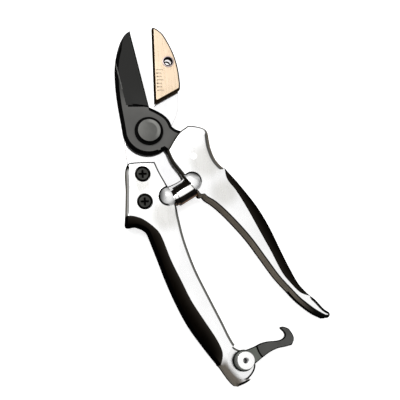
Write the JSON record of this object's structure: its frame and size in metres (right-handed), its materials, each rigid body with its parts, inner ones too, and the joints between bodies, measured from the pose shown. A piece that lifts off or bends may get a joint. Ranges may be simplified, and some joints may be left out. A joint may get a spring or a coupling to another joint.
{
  "type": "anvil pruning shears",
  "caption": "Anvil pruning shears with a black blade, brass anvil, cast aluminium handles with black grip inlays, a volute spring and a swing latch.",
  "frame": {"origin": "centre of the pivot nut's back face, on the pivot axis, in the plane the shears lie on", "axes": "+Z out of the front face, +Y along the anvil's cutting face towards the jaw tips, +X from the blade towards the anvil"},
  "size_m": [0.1134, 0.2019, 0.015],
  "materials": {
    "cast_aluminium": "satin, lightly polished die casting",
    "grip_black": "moulded, fine-textured soft-feel plastic",
    "coated_blade": "black low-friction coating",
    "anvil_brass": "machined and lightly lapped",
    "chromed_steel": "bright plated",
    "black_oxide": "blackened steel",
    "pivot_steel": "grey phosphated, fine turned",
    "zinc_steel": "zinc plated",
    "spring_steel": "polished, blued strip",
    "latch_steel": "tumbled, dark grey",
    "bronze": "sintered, oiled"
  },
  "bodies": {
    "anvil_side": {"anvil_handle": "cast_aluminium", "anvil_handle_grip": "grip_black", "anvil_plate": "chromed_steel", "anvil": "anvil_brass", "anvil_rivet": "anvil_brass", "pivot_bolt": "pivot_steel", "pivot_head_washer": "black_oxide", "pivot_spacer_washer": "zinc_steel", "pivot_lock_washer": "zinc_steel", "pivot_nut": "zinc_steel", "plate_screw_upper": "black_oxide", "plate_screw_lower": "black_oxide", "spring": "spring_steel", "latch_rivet": "chromed_steel", "latch_washer": "zinc_steel"},
    "blade_side": {"blade": "coated_blade", "blade_handle": "cast_aluminium", "blade_handle_grip": "grip_black", "pivot_bush": "bronze", "blade_screw_upper": "black_oxide", "blade_screw_lower": "black_oxide", "catch_pin": "zinc_steel"},
    "latch_arm": {"latch": "latch_steel"}
  },
  "joints": [
    {"name": "jaw_pivot", "type": "hinge", "parent": "anvil_side", "child": "blade_side", "pos_m": [0, 0, 0.00925], "axis": [0, 0, -1], "range_deg": [0, 12], "stiffness_Nm_per_rad": 1.2, "springref_deg": -11.46, "deforming": ["spring"]},
    {"name": "latch_pivot", "type": "hinge", "parent": "anvil_side", "child": "latch_arm", "pos_m": [0.046, -0.128, 0.0073], "axis": [0, 0, 1], "range_deg": [-75, 14]}
  ]
}
